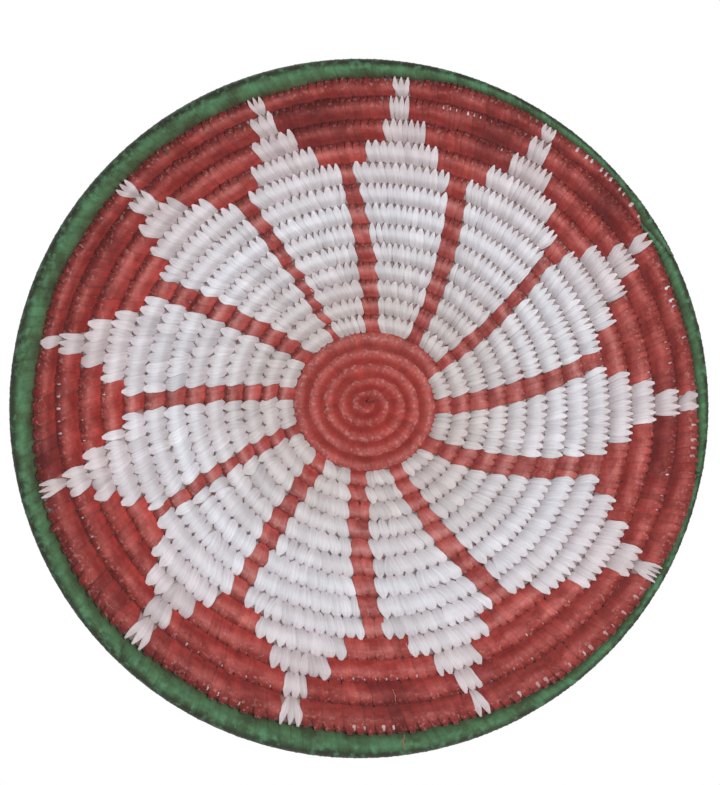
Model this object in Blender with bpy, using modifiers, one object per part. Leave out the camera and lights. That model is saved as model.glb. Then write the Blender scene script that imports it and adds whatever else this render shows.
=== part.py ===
# Woven wall plate: one rope wound in a spiral, bound in red, with white petals and a green rim bound over it.
# The plate stands upright as it hangs: +Z is up, the hollow front faces -Y, the middle is flat at Y = 0.
# It is laid out face up, on X and Y with the front at +Z, and an empty then stands it against the wall.
import math
from collections import namedtuple

import bmesh
import bpy
from mathutils import Vector
from mathutils.bvhtree import BVHTree

# The coil, in metres. The rows outside the medallion share what is left of the plate's radius.
PLATE_RADIUS = 0.15
START_RADIUS = 0.0024
FIRST_PITCH = 0.0029
MEDALLION_PITCH = 0.0063
PITCH_GROWTH = 0.00023
ROPE_GAP = 0.001
TAIL_HALF = 0.001
TAIL_GROWTH = 0.0014
RIM_REACH = 0.0118

# Turns of the coil, counted from where the first ring begins
LOOP_POINTS = 24
MEDALLION_TURNS = 5
PETAL_ROWS = 13
FIRST_TURN_CURVE = 1.5
WIDER_PITCH_TURN = 4.5
EDGE_SPARE_TURNS = 0.05
TAIL_TURN = 0.25
TAIL_POINTS = 4
TAIL_PAST_CENTRE = 0.2

# The hollow of the plate, in metres
DISH_DEPTH = 0.028
DISH_FLAT_RADIUS = 0.009
DISH_CURVE = 1.3
REST_CUT_SHARE = 0.1

# The coil isn't quite round: each ring is pushed to one side and is a little oval, more so further out
PUSH_SHARE = 0.27
PUSH_BEARING = math.radians(133)
OVAL_SHARE = 0.24
OVAL_BEARING = math.radians(96)
SWAY_BASE = 0.0032
SWAY_SHARE = 0.062
SWAY_START_TURNS = 1.5
OUTLINE_OFFSET = Vector((-0.0034, -0.0028))

# The medallion sits a little low in the rows round it, which take that up over a few turns
MEDALLION_SHIFT = Vector((-0.0005, -0.0010))
SHIFT_FADE_TURN = 4.5
SHIFT_END_TURN = 7.0

# The last red row is a little narrower at the top and wider at the bottom, with its inner edge in place
LAST_ROW_TRIM = 0.0011
TRIM_BEARING = math.radians(9)
TRIM_TURNS = 0.1

# The bindings, in metres
PETAL_WALL = 0.0008
RIM_WALL = 0.0008
CLEARANCE = 0.0003
RIM_WIDEST = 0.0112
RIM_NARROWEST = 0.0036
LAST_ROW_SHARE = 0.85

# What counts as the same place
MERGE_DISTANCE = 0.000001
COLUMN_TOLERANCE = 0.000001
BEARING_DIGITS = 4

# Bearings are clockwise from the top, in degrees. Each new row begins at the seam.
SEAM = 57.0
RIM_END = 54.0
WIDEST_ROW = 9
TIP_WIDTH = 3.5
EDGE_SNAP = 0.8

# Each petal's tip, how far its middle lies from the tip at the widest and the first row, and its two widths
Petal = namedtuple("Petal", "tip widest_turn base_turn widest_width base_width")
PETALS = [
    Petal(60.3, 5.5, 16.7, 24.5, 19.0),
    Petal(89.8, 2.5, 18.2, 21.5, 20.0),
    Petal(120.9, 4.9, 19.1, 35.5, 22.0),
    Petal(159.2, 2.8, 11.5, 28.0, 19.5),
    Petal(193.9, 2.4, 8.6, 31.5, 21.0),
    Petal(224.3, 4.0, 10.0, 25.5, 21.5),
    Petal(255.0, 0.3, 7.0, 24.5, 20.0),
    Petal(280.8, 3.2, 9.7, 25.0, 21.0),
    Petal(311.5, 2.3, 9.0, 25.5, 20.0),
    Petal(339.5, 2.3, 7.0, 23.5, 23.0),
    Petal(366.0, 2.6, 14.0, 23.8, 24.0),
    Petal(394.1, 3.1, 15.4, 24.5, 19.0),
]
# Above its widest row a petal steps in to its tip: the shares of its extra width and turn that each row keeps
STEP_WIDTHS = [0.67, 0.32, 0.08, 0.0]
STEP_TURNS = [0.75, 0.5, 0.1, 0.0]

# Colours as red, green and blue in linear light, with a roughness
RED_FIBRE = ((0.33, 0.045, 0.038), 0.85)
WHITE_FIBRE = ((0.72, 0.72, 0.74), 0.9)
GREEN_FIBRE = ((0.045, 0.14, 0.07), 0.85)

RIM_TURN = MEDALLION_TURNS + PETAL_ROWS
HEX_SIDES = 6
HEX_STEP = 360 / HEX_SIDES
HEX_CORNER = math.cos(math.radians(HEX_STEP / 2))
HEX_SLOPE = math.tan(math.radians(HEX_STEP / 2))
HEX_POINTS_FORWARD = math.radians(HEX_STEP / 2)
UP = Vector((0, 0, 1))

RopePoint = namedtuple("RopePoint", "turn place half slope")
Line = namedtuple("Line", "place edges")


def snapped(bearing):
    # An edge that falls almost on one of the coil's points is put on it, so that no sliver is left
    step = 360 / LOOP_POINTS
    nearest = SEAM + round((bearing - SEAM) / step) * step
    return nearest if abs(nearest - bearing) < EDGE_SNAP else bearing


# The petals' outline, in bearings

def row_middle(petal, row):
    if row <= WIDEST_ROW:
        rise = (row - 1) / (WIDEST_ROW - 1)
        return petal.tip + petal.base_turn + (petal.widest_turn - petal.base_turn) * rise
    return petal.tip + petal.widest_turn * STEP_TURNS[row - WIDEST_ROW - 1]


def row_width(petal, row):
    if row <= WIDEST_ROW:
        rise = (row - 1) / (WIDEST_ROW - 1)
        return petal.base_width + (petal.widest_width - petal.base_width) * rise
    return TIP_WIDTH + (petal.widest_width - TIP_WIDTH) * STEP_WIDTHS[row - WIDEST_ROW - 1]


def row_edges(petal, row):
    middle = row_middle(petal, row)
    width = row_width(petal, row)
    return middle - width / 2, middle + width / 2


# The coil's path. A turn is the count of turns so far, so it also says the bearing.

def bearing_of(turn):
    return math.radians(SEAM + 360 * turn)


def share_of(value, first, last):
    return min(max((value - first) / (last - first), 0), 1)


def even_radius(turn):
    if turn < 1:
        return START_RADIUS + FIRST_PITCH * max(turn, 0) ** FIRST_TURN_CURVE
    medallion = START_RADIUS + FIRST_PITCH + MEDALLION_PITCH * (min(turn, WIDER_PITCH_TURN) - 1)
    wider = max(turn - WIDER_PITCH_TURN, 0)
    return medallion + ROW_PITCH * wider + PITCH_GROWTH * wider ** 2 / 2


def first_row_pitch():
    # The pitch that brings the middle of the last row to its place inside the rim
    rows = RIM_TURN - 0.5 - WIDER_PITCH_TURN
    medallion = START_RADIUS + FIRST_PITCH + MEDALLION_PITCH * (WIDER_PITCH_TURN - 1)
    return (PLATE_RADIUS - RIM_REACH - medallion - PITCH_GROWTH * rows ** 2 / 2) / rows


def full_radius(turn):
    angle = bearing_of(turn)
    even = even_radius(turn)
    shape = PUSH_SHARE * math.cos(angle - PUSH_BEARING) + OVAL_SHARE * math.cos(2 * (angle - OVAL_BEARING))
    low = MEDALLION_SHIFT.x * math.sin(angle) + MEDALLION_SHIFT.y * math.cos(angle)
    low *= 1 - share_of(turn, SHIFT_FADE_TURN, SHIFT_END_TURN)
    sway = shape * (SWAY_BASE + SWAY_SHARE * even) + low
    return even + sway * share_of(turn, 0, SWAY_START_TURNS)


def last_row_trim(turn):
    # What the last row gives up of its half width, except where it begins and ends
    started = share_of(turn, RIM_TURN - 1, RIM_TURN - 1 + TRIM_TURNS)
    ending = share_of(turn, RIM_TURN - 2 * TRIM_TURNS, RIM_TURN - TRIM_TURNS)
    return LAST_ROW_TRIM * started * (1 - ending) * math.cos(bearing_of(turn) - TRIM_BEARING)


def coil_radius(turn):
    return full_radius(turn) - last_row_trim(turn)


def dish_height(turn):
    span = even_radius(RIM_TURN) - DISH_FLAT_RADIUS
    share = max(even_radius(turn) - DISH_FLAT_RADIUS, 0) / span
    return DISH_DEPTH * share ** DISH_CURVE


def spacing(turn):
    across = full_radius(turn + 1) - full_radius(turn)
    return math.hypot(across, dish_height(turn + 1) - dish_height(turn))


def gap_after(turn):
    # The petals' inner ends wrap round the first white row, so their wall fits in before it
    before_white = -EDGE_SPARE_TURNS < turn - (MEDALLION_TURNS - 1) < 1 + EDGE_SPARE_TURNS
    return ROPE_GAP + (PETAL_WALL + CLEARANCE if before_white else 0)


def rope_half(turn):
    # Half of the rope's width, from flat to flat: it fills the room that its neighbours leave
    if turn >= RIM_TURN:
        return rim_width(turn) / 2 - RIM_WALL - CLEARANCE
    halves = [TAIL_HALF + TAIL_GROWTH * turn]
    if turn < RIM_TURN - 1:
        halves.append((spacing(turn) - gap_after(turn)) / 2)
    if 1 <= turn < 2:
        halves.append(spacing(turn - 1) - gap_after(turn - 1) - rope_half(turn - 1))
    if turn >= 2:
        halves.append((spacing(turn - 1) - gap_after(turn - 1)) / 2)
    half = min(halves)
    return half if turn < RIM_TURN - 1 else half * LAST_ROW_SHARE - last_row_trim(turn)


def slope_at(turn):
    if turn < 1 or turn >= RIM_TURN:
        return 0.0
    across = full_radius(turn) - full_radius(turn - 1)
    return math.atan2(dish_height(turn) - dish_height(turn - 1), across)


def centre_height(turn, half):
    # A tenth of the rope's thickness is cut away where its back rests on the wall
    return dish_height(turn) + half / HEX_CORNER * (1 - 2 * REST_CUT_SHARE)


# The rim's coil follows the round outline and tucks in behind the last row where there is no room beside it

def outline_radius(turn):
    angle = bearing_of(turn)
    ahead = OUTLINE_OFFSET.x * math.sin(angle) + OUTLINE_OFFSET.y * math.cos(angle)
    return ahead + math.sqrt(PLATE_RADIUS ** 2 - OUTLINE_OFFSET.length_squared + ahead ** 2)


def rim_width(turn):
    trim = last_row_trim(turn - 1)
    last_row = full_radius(turn - 1) + (rope_half(turn - 1) + trim) / LAST_ROW_SHARE - 2 * trim
    room = outline_radius(turn) - last_row - ROPE_GAP - RIM_WALL
    return min(max(room, RIM_NARROWEST), RIM_WIDEST)


def rim_place(turn):
    last_half = rope_half(turn - 1)
    width = rim_width(turn)
    radius = outline_radius(turn) - width / 2
    apart = (last_half + CLEARANCE + PETAL_WALL) / HEX_CORNER + CLEARANCE + width / 2 / HEX_CORNER
    beside = min(radius - coil_radius(turn - 1), apart)
    return radius, centre_height(turn - 1, last_half) - math.sqrt(apart ** 2 - beside ** 2)


def polar(radius, turn, height):
    angle = bearing_of(turn)
    return Vector((radius * math.sin(angle), radius * math.cos(angle), height))


def rope_point(turn):
    half = rope_half(turn)
    if turn >= RIM_TURN:
        radius, height = rim_place(turn)
    else:
        radius, height = coil_radius(turn), centre_height(turn, half)
    return RopePoint(turn, polar(radius, turn, height), half, slope_at(turn))


def tail_point(step):
    # The bundle's trimmed end curls in to the middle of the first ring and a little past it
    share = step / TAIL_POINTS * (1 + TAIL_PAST_CENTRE) - TAIL_PAST_CENTRE
    turn = TAIL_TURN * (share - 1)
    radius = START_RADIUS * math.sin(math.pi / 2 * share)
    return RopePoint(turn, polar(radius, turn, centre_height(0, TAIL_HALF)), TAIL_HALF, 0.0)


def coil_points():
    last_turn = RIM_TURN + 1 + (RIM_END - SEAM) / 360
    tail = [tail_point(step) for step in range(TAIL_POINTS)]
    loops = [rope_point(step / LOOP_POINTS) for step in range(math.ceil(last_turn * LOOP_POINTS))]
    return tail + loops + [rope_point(last_turn)]


def index_of(ring, column):
    return TAIL_POINTS + ring * LOOP_POINTS + column


# Each point's own axes: outward and forward, turned with the slope of the hollow

def axes_at(points, index):
    here = points[index].place
    before = points[max(index - 1, 0)].place
    after = points[min(index + 1, len(points) - 1)].place
    along = Vector((0, 0, 0))
    if before != here:
        along += (here - before).normalized()
    if after != here:
        along += (after - here).normalized()
    along.normalize()
    outward = UP.cross(along).normalized()
    forward = along.cross(outward)
    slope = points[index].slope
    return (
        outward * math.cos(slope) + forward * math.sin(slope),
        forward * math.cos(slope) - outward * math.sin(slope),
    )


def corner(points, index, degrees, away):
    outward, forward = axes_at(points, index)
    reach = (points[index].half + away) / HEX_CORNER
    angle = math.radians(degrees)
    return points[index].place + (outward * math.cos(angle) + forward * math.sin(angle)) * reach


def valley(points, inner, outer, side):
    # Midway between two rows, where the skins that slope down from both crests meet
    middle = (points[inner].place + points[outer].place) / 2
    forward = (axes_at(points, inner)[1] + axes_at(points, outer)[1]).normalized() * side
    lifts = []
    for index in (inner, outer):
        reach = (points[index].half + CLEARANCE) / HEX_CORNER
        ahead = points[index].place - middle
        rise = ahead.dot(forward)
        lifts.append(rise + reach - (ahead - forward * rise).length * HEX_SLOPE)
    return middle + forward * max(lifts)


# Objects and materials

def fibre(name, finish):
    colour, roughness = finish
    material = bpy.data.materials.new(name)
    material.use_nodes = True
    shader = material.node_tree.nodes["Principled BSDF"]
    shader.inputs["Base Color"].default_value = (*colour, 1)
    shader.inputs["Roughness"].default_value = roughness
    shader.inputs["Metallic"].default_value = 0.0
    return material


def add_object(name, data, collection, stand, material=None):
    thing = bpy.data.objects.new(name, data)
    collection.objects.link(thing)
    thing.parent = stand
    if material:
        data.materials.append(material)
    return thing


def hex_tube(name, points, away, capped):
    # Six sides with a corner to the front and a flat towards each neighbouring turn
    curve = bpy.data.curves.new(name, "CURVE")
    curve.dimensions = "3D"
    curve.twist_mode = "Z_UP"
    curve.bevel_depth = 1.0
    curve.bevel_resolution = 1
    curve.use_fill_caps = capped
    spline = curve.splines.new("POLY")
    spline.points.add(len(points) - 1)
    for spot, point in zip(spline.points, points):
        spot.co = (*point.place, 1)
        spot.radius = (point.half + away) / HEX_CORNER
        spot.tilt = HEX_POINTS_FORWARD + point.slope
    return curve


def bound_coil(points, collection, stand, material):
    curve_object = add_object("coil_path", hex_tube("coil_path", points, 0, True), collection, stand)
    bpy.context.view_layer.update()
    graph = bpy.context.evaluated_depsgraph_get()
    mesh = bpy.data.meshes.new_from_object(curve_object.evaluated_get(graph))
    bpy.data.objects.remove(curve_object)
    shape = bmesh.new()
    shape.from_mesh(mesh)
    bmesh.ops.remove_doubles(shape, verts=shape.verts, dist=MERGE_DISTANCE)
    shape.to_mesh(mesh)
    shape.free()
    return add_object("red_bound_coil", mesh, collection, stand, material)


def wall_cutter(collection, stand):
    # Everything behind the wall plane under the medallion
    reach = 2 * even_radius(MEDALLION_TURNS)
    shape = bmesh.new()
    bmesh.ops.create_cube(shape, size=reach)
    bmesh.ops.translate(shape, verts=shape.verts, vec=(0, 0, -reach / 2))
    mesh = bpy.data.meshes.new("wall_cutter")
    shape.to_mesh(mesh)
    shape.free()
    cutter = add_object("wall_cutter", mesh, collection, stand)
    cutter.hide_render = True
    cutter.display_type = "WIRE"
    return cutter


def rest_on_wall(coil, cutter):
    cut = coil.modifiers.new("rest_on_wall", "BOOLEAN")
    cut.operation = "DIFFERENCE"
    cut.solver = "EXACT"
    cut.object = cutter


def petal_lines(points, petal):
    # Lines across the petal, from the crest of the first row over the front to the tip and back behind
    def line(place, rows):
        edges = [row_edges(petal, row) for row in rows]
        if len(rows) == 2 and min(rows) < WIDEST_ROW:
            edges = [[sum(ends) / 2 for ends in zip(*edges)]] * 2
        snapped_edges = [tuple(snapped(edge) for edge in ends) for ends in edges]
        rings = [MEDALLION_TURNS + row - 1 for row in rows]
        return Line(
            lambda column: place([index_of(ring, column) for ring in rings]),
            dict(zip(rows, snapped_edges)),
        )

    def ridge(row, degrees):
        return line(lambda spots: corner(points, spots[0], degrees, CLEARANCE), (row,))

    def groove(row, side):
        return line(lambda spots: valley(points, min(spots), max(spots), side), (row, row + side))

    lines = []
    for side, rows in ((1, range(1, PETAL_ROWS + 1)), (-1, range(PETAL_ROWS, 0, -1))):
        for row in rows:
            lines.append(ridge(row, 90 * side))
            if row + side in rows:
                lines.append(groove(row, side))
        end = PETAL_ROWS if side == 1 else 1
        lines += [ridge(end, 90 * side - HEX_STEP), ridge(end, 90 * side - 2 * HEX_STEP)]
    return lines


def petal_surface(lines):
    shape = bmesh.new()
    made = {}
    step = 360 / LOOP_POINTS

    def spot(number, bearing):
        key = (number, bearing)
        if key not in made:
            column = math.floor((bearing - SEAM) / step + COLUMN_TOLERANCE)
            share = (bearing - SEAM) / step - column
            place = lines[number].place
            made[key] = shape.verts.new(place(column).lerp(place(column + 1), share))
        return made[key]

    def columns_between(left, right):
        first = math.floor((left - SEAM) / step + COLUMN_TOLERANCE) + 1
        last = math.ceil((right - SEAM) / step - COLUMN_TOLERANCE)
        return [SEAM + column * step for column in range(first, last)]

    def stops(number, low, high):
        # Every place on the line where a face of one of its rows has a corner
        edges = lines[number].edges.values()
        marks = [mark for ends in edges for mark in ends]
        marks += columns_between(min(marks), max(marks))
        inside = {round(mark, BEARING_DIGITS) for mark in marks if low <= mark <= high}
        return [spot(number, mark) for mark in sorted(inside)]

    for near in range(len(lines)):
        far = (near + 1) % len(lines)
        row = next(row for row in lines[near].edges if row in lines[far].edges)
        near_left, near_right = lines[near].edges[row]
        far_left, far_right = lines[far].edges[row]
        cuts = columns_between(max(near_left, far_left), min(near_right, far_right))
        near_cuts = [near_left] + cuts + [near_right]
        far_cuts = [far_left] + cuts + [far_right]
        for cell in range(len(near_cuts) - 1):
            near_side = stops(near, near_cuts[cell], near_cuts[cell + 1])
            far_side = stops(far, far_cuts[cell], far_cuts[cell + 1])
            shape.faces.new(near_side + far_side[::-1])
    mesh = bpy.data.meshes.new("white_petal")
    shape.to_mesh(mesh)
    shape.free()
    return mesh


def thicken(thing, wall):
    solid = thing.modifiers.new("wall", "SOLIDIFY")
    solid.thickness = wall
    solid.offset = 1
    solid.use_even_offset = True
    solid.use_rim = True


def rim_binding(points, collection, stand, material):
    tube = hex_tube("green_rim_binding", points[index_of(RIM_TURN, 0):], CLEARANCE, False)
    binding = add_object("green_rim_binding", tube, collection, stand, material)
    thicken(binding, RIM_WALL)
    return binding


def turn_tree(points, ring):
    # The faces of one turn, as a tree that finds the nearest point of them
    first, last = index_of(ring, 0), min(index_of(ring + 1, 0), len(points) - 1)
    bearings = [HEX_STEP * (side + 0.5) for side in range(HEX_SIDES)]
    spots = [corner(points, index, bearing, 0) for index in range(first, last + 1) for bearing in bearings]
    faces = []
    for step in range(last - first):
        for side in range(HEX_SIDES):
            near, far = HEX_SIDES * step + side, HEX_SIDES * step + (side + 1) % HEX_SIDES
            faces.append((near, far, far + HEX_SIDES, near + HEX_SIDES))
    return BVHTree.FromPolygons(spots, faces), spots


def least_gap(points):
    gaps = []
    for ring in range(RIM_TURN):
        tree = turn_tree(points, ring + 1)[0]
        # Without a turn's last points, because the next turn follows on from them
        spots = turn_tree(points, ring)[1][:-2 * HEX_SIDES]
        middles = [(a + b) / 2 for a, b in zip(spots, spots[1:])]
        gaps.append(min(tree.find_nearest(spot)[3] for spot in spots + middles))
    return min(gaps), gaps.index(min(gaps))


ROW_PITCH = first_row_pitch()


def main():
    for thing in list(bpy.data.objects):
        bpy.data.objects.remove(thing)

    plate = bpy.data.collections.new("woven_wall_plate")
    cutters = bpy.data.collections.new("cutters")
    bpy.context.scene.collection.children.link(plate)
    bpy.context.scene.collection.children.link(cutters)
    stand = bpy.data.objects.new("plate_stand", None)
    plate.objects.link(stand)
    stand.rotation_euler = (math.radians(90), 0, 0)

    red = fibre("red_fibre", RED_FIBRE)
    white = fibre("white_fibre", WHITE_FIBRE)
    green = fibre("green_fibre", GREEN_FIBRE)

    points = coil_points()
    coil = bound_coil(points, plate, stand, red)
    rest_on_wall(coil, wall_cutter(cutters, stand))
    for number, petal in enumerate(PETALS, 1):
        surface = petal_surface(petal_lines(points, petal))
        binding = add_object(f"white_petal_{number:02d}", surface, plate, stand, white)
        thicken(binding, PETAL_WALL)
    rim_binding(points, plate, stand, green)

    gap, ring = least_gap(points)
    print(f"Least gap between turns of the coil: {gap * 1000:.2f} mm, outside turn {ring + 1}")


main()
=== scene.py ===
import math

import bpy
import numpy as np
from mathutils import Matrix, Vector


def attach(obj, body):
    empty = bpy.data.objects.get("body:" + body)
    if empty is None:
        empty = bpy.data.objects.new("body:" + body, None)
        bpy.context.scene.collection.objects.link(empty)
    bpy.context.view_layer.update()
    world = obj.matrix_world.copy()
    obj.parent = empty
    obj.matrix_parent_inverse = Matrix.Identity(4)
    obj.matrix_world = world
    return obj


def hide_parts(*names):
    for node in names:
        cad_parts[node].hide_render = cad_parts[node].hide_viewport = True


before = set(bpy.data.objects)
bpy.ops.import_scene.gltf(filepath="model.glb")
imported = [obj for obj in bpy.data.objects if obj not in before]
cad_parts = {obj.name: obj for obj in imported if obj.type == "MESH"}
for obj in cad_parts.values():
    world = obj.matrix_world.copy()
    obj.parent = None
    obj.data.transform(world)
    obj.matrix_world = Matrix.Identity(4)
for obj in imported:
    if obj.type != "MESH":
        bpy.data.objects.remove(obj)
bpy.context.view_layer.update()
chance = np.random.default_rng(11)

# The coil's path follows the CAD's as far as the last row. The rim's widths are this scene's own.
# Lengths in metres, bearings in degrees clockwise from the top, places along the coil in turns.
coil = dict(
    plateRadius=0.15, startRadius=0.0024, firstPitch=0.0029, medallionPitch=0.0063, pitchGrowth=0.00023,
    firstCurve=1.5, widerTurn=4.5, rimReach=0.0118, tailHalf=0.0013,
    lowX=-0.0005, lowZ=-0.0010, lowFade=4.5, lowEnd=7.0,
    medallionTurns=5, petalRows=13, seam=57.0, lastTurn=19.02,
    dishDepth=0.028, flatRadius=0.009, dishCurve=1.3,
    push=0.27, pushBearing=133, oval=0.24, ovalBearing=96, swayBase=0.0032, swayShare=0.062, swayTurns=1.5,
    outlineX=-0.0034, outlineZ=-0.0028, rimWidest=0.0124, rimNarrowest=0.0036, rimBlend=8, curlDrop=0.0012,
)
# How much of the green rim shows outside the last row: bearing and width in millimetres.
# Measured on the photograph by a separate script, every few degrees.
rimBand = [
    (57, 6.2), (65, 6.8), (70, 6.6), (75, 6.1), (80, 5.5), (85, 5.5), (93, 4.7), (97, 4.0), (101, 3.6),
    (105, 2.3), (110, 2.5), (115, 3.1), (120, 3.9), (130, 4.4), (140, 5.0), (145, 5.7), (150, 6.8),
    (155, 7.6), (160, 8.5), (165, 9.3), (180, 10.2), (190, 11.7), (197, 11.2), (205, 10.7), (215, 11.2),
    (220, 11.0), (230, 9.4), (240, 9.4), (255, 9.0), (262, 9.8), (280, 10.7), (290, 9.8), (300, 10.3),
    (310, 10.1), (318, 9.4), (325, 10.1), (335, 9.9), (345, 10.0), (350, 9.1), (355, 8.2), (360, 8.1),
    (370, 6.7), (375, 5.1), (380, 5.1), (385, 4.4), (395, 4.1), (400, 3.5), (405, 2.9), (410, 2.9),
    (415, 3.8), (417, 4.6),
]
rimTurn = coil["medallionTurns"] + coil["petalRows"]

# Each petal: the bearing of its tip, how far its middle has turned at the widest row and at the first,
# and its width at both
petals = [
    (60.3, 5.5, 16.7, 24.5, 19.0), (89.8, 2.5, 18.2, 21.5, 20.0), (120.9, 4.9, 19.1, 35.5, 22.0),
    (159.2, 2.8, 11.5, 28.0, 19.5), (193.9, 2.4, 8.6, 31.5, 21.0), (224.3, 4.0, 10.0, 25.5, 21.5),
    (255.0, 0.3, 7.0, 24.5, 20.0), (280.8, 3.2, 9.7, 25.0, 21.0), (311.5, 2.3, 9.0, 25.5, 20.0),
    (339.5, 2.3, 7.0, 23.5, 23.0), (366.0, 2.6, 14.0, 23.8, 24.0), (394.1, 3.1, 15.4, 24.5, 19.0),
]
widestRow = 9
# How many stitches each petal's tip has
tipStitches = [2, 2, 4, 2, 3, 3, 3, 1, 3, 3, 3, 3]
# Above its widest row each petal steps in to its tip: left and right edge in rows 10 to 13, in degrees
# from the tip. Measured on the photograph by a separate script.
petalSteps = [
    [(-6.7, 12.5), (-5.0, 7.4), (-2.3, 3.6), (-1.7, 0.9)],
    [(-6.5, 9.4), (-4.2, 4.6), (-2.1, 2.8), (-1.5, 1.7)],
    [(-9.8, 16.8), (-5.9, 10.0), (-2.5, 3.4), (-1.4, 1.5)],
    [(-7.4, 11.2), (-3.4, 6.4), (-1.3, 2.7), (-1.1, 1.5)],
    [(-9.3, 12.3), (-6.2, 7.0), (-2.2, 2.5), (-2.0, 1.8)],
    [(-6.8, 11.8), (-4.6, 7.7), (-2.3, 2.9), (-1.8, 2.0)],
    [(-8.7, 8.7), (-5.5, 5.3), (-2.8, 2.3), (-1.5, 1.2)],
    [(-6.5, 9.9), (-3.7, 6.5), (-1.6, 2.3), (-1.3, 0.9)],
    [(-6.9, 10.2), (-4.5, 5.3), (-2.1, 2.3), (-1.4, 1.4)],
    [(-6.2, 8.7), (-3.8, 5.4), (-2.3, 2.4), (-1.1, 1.4)],
    [(-6.3, 10.2), (-2.7, 6.3), (-1.6, 2.2), (-1.2, 1.7)],
    [(-6.3, 10.4), (-3.3, 5.6), (-1.9, 2.1), (-1.4, 1.2)],
]


def evenRadius(turn):
    first = coil["startRadius"] + coil["firstPitch"] * np.clip(turn, 0, 1) ** coil["firstCurve"]
    medallion = coil["medallionPitch"] * (np.clip(turn, 1, coil["widerTurn"]) - 1)
    wider = np.maximum(turn - coil["widerTurn"], 0)
    return first + medallion + rowPitch * wider + coil["pitchGrowth"] * wider ** 2 / 2


def firstRowPitch():
    rows = rimTurn - 0.5 - coil["widerTurn"]
    medallion = coil["startRadius"] + coil["firstPitch"] + coil["medallionPitch"] * (coil["widerTurn"] - 1)
    return (coil["plateRadius"] - coil["rimReach"] - medallion - coil["pitchGrowth"] * rows ** 2 / 2) / rows


rowPitch = firstRowPitch()


def bearingOf(turn):
    return coil["seam"] + 360 * turn


def ringRadius(turn):
    even = evenRadius(turn)
    shape = coil["push"] * np.cos(np.radians(bearingOf(turn) - coil["pushBearing"]))
    shape = shape + coil["oval"] * np.cos(2 * np.radians(bearingOf(turn) - coil["ovalBearing"]))
    angle = np.radians(bearingOf(turn))
    low = coil["lowX"] * np.sin(angle) + coil["lowZ"] * np.cos(angle)
    fade = np.clip((coil["lowEnd"] - turn) / (coil["lowEnd"] - coil["lowFade"]), 0, 1)
    sway = shape * (coil["swayBase"] + coil["swayShare"] * even) + low * fade
    return even + sway * np.clip(turn / coil["swayTurns"], 0, 1)


def dishHeight(turn):
    span = evenRadius(rimTurn) - coil["flatRadius"]
    beyondFlat = np.maximum(evenRadius(turn) - coil["flatRadius"], 0)
    return coil["dishDepth"] * (beyondFlat / span) ** coil["dishCurve"]


def outlineRadius(turn):
    angle = np.radians(bearingOf(turn))
    ahead = coil["outlineX"] * np.sin(angle) + coil["outlineZ"] * np.cos(angle)
    within = coil["plateRadius"] ** 2 - coil["outlineX"] ** 2 - coil["outlineZ"] ** 2
    return ahead + np.sqrt(within + ahead ** 2)


def pathTable(step=1 / 360):
    # The rope's middle, half its width and its slope, for every degree of every turn
    turn = np.arange(-1.2, rimTurn + 1.4, step)
    after = np.hypot(ringRadius(turn + 1) - ringRadius(turn), dishHeight(turn + 1) - dishHeight(turn))
    before = np.hypot(ringRadius(turn) - ringRadius(turn - 1), dishHeight(turn) - dishHeight(turn - 1))
    half = (after + before) / 4
    # The first ring fills the room inside the second
    half = np.where(turn < 1, after - np.interp(turn + 1, turn, half), half)
    half = np.where(turn < 0, coil["tailHalf"], half)
    radius = ringRadius(turn) * np.clip(1.1 + turn, 0.12, 1) ** 0.8
    rise = dishHeight(turn) - dishHeight(turn - 1)
    slope = np.where(turn < 1, 0, np.arctan2(rise, radius - ringRadius(turn - 1)))
    height = dishHeight(turn) + half * 0.92 - coil["curlDrop"] * np.clip(-3 * turn, 0, 1)
    # The last red row is as wide as the green rim leaves it
    outline = outlineRadius(turn)
    band = np.interp(bearingOf(turn) - 360 * (rimTurn - 1), *np.transpose(rimBand)) / 1000
    beyond = (outline - band - radius - half) * np.clip((turn - rimTurn + 1) / 0.04, 0, 1)
    radius = radius + beyond / 2
    half = half + beyond / 2
    # The rim follows the round outline and tucks in behind the last row where there is no room beside it
    rim = turn >= rimTurn
    shift = int(round(1 / step))
    lastRadius, lastHalf, lastHeight = (np.roll(table, shift) for table in (radius, half, height))
    width = np.clip(outline - lastRadius - lastHalf, coil["rimNarrowest"], coil["rimWidest"])
    width = width * (1 - 0.97 * np.clip((turn - rimTurn - 1) * 360 / coil["rimBlend"], 0, 1))
    rimRadius = outline - width / 2
    apart = lastHalf + width / 2
    beside = np.minimum(rimRadius - lastRadius, apart)
    rimHeight = lastHeight - 0.55 * np.sqrt(np.maximum(apart ** 2 - beside ** 2, 0))
    blend = np.clip((turn - rimTurn) * 360 / coil["rimBlend"], 0, 1)
    radius = np.where(rim, radius + (rimRadius - radius) * blend, radius)
    height = np.where(rim, height + (rimHeight - height) * blend, height)
    half = np.where(rim, half + (width / 2 - half) * blend, half)
    return turn, radius, height, half, slope


pathTurn, pathRadius, pathHeight, pathHalf, pathSlope = pathTable()
pathLength = np.cumsum(2 * math.pi * pathRadius) * (pathTurn[1] - pathTurn[0])


def along(table, turn):
    return np.interp(turn, pathTurn, table)


def place(turn, outward, forward):
    # A point beside the rope's middle: outward and forward lean with the hollow's slope. The front faces -Y.
    slope = along(pathSlope, turn)
    radius = along(pathRadius, turn) + outward * np.cos(slope) - forward * np.sin(slope)
    height = along(pathHeight, turn) + outward * np.sin(slope) + forward * np.cos(slope)
    angle = np.radians(bearingOf(turn))
    return np.stack([radius * np.sin(angle), -height, radius * np.cos(angle)], -1)


# Where the stitches sit along the coil.
# Each one is pulled towards a notch between two stitches of the row inside it.
spacing = dict(
    pitch=0.0035, pitchSwing=0.0010, widestAt=225, medallionPitch=0.0019, uneven=0.06, lean=0.0013,
    pull=0.35,
)


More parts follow.
